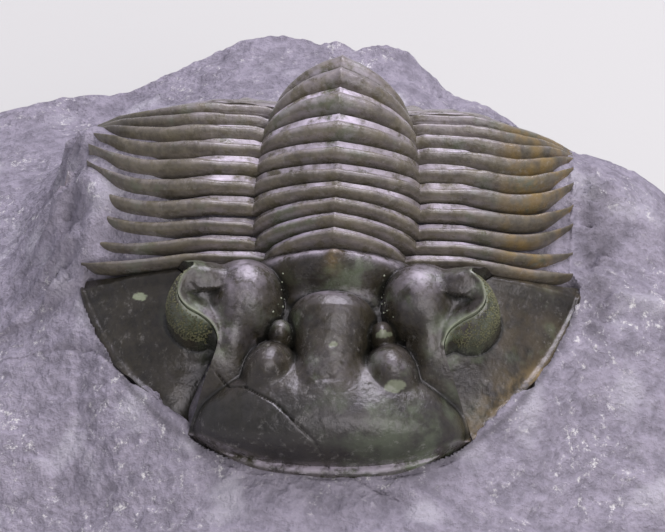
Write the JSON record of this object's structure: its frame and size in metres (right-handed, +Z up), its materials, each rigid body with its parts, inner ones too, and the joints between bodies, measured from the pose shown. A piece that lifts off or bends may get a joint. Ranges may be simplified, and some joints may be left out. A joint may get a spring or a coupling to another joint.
{
  "type": "trilobite fossil",
  "caption": "Trilobite fossil lying over a hump of its limestone matrix, with head, jointed thorax and fan-shaped tail shield.",
  "frame": {"origin": "on the flat cut base of the rock, under the thorax", "axes": "+X to the right of a viewer facing the head, +Y from head to tail, +Z up"},
  "size_m": [0.0857, 0.0827, 0.0409],
  "materials": {
    "limestone": "rough prepared limestone, pale grey-purple with white streaks",
    "shell": "semi-gloss fossil calcite, dark olive-grey with green and brown patches"
  },
  "bodies": {
    "root": {"matrix": "limestone", "cranidium": "shell", "free_cheek_left": "shell", "free_cheek_right": "shell", "segment_01": "shell", "segment_02": "shell", "segment_03": "shell", "segment_04": "shell", "segment_05": "shell", "segment_06": "shell", "segment_07": "shell", "segment_08": "shell", "segment_09": "shell", "segment_10": "shell", "tail_shield": "shell"}
  },
  "joints": []
}
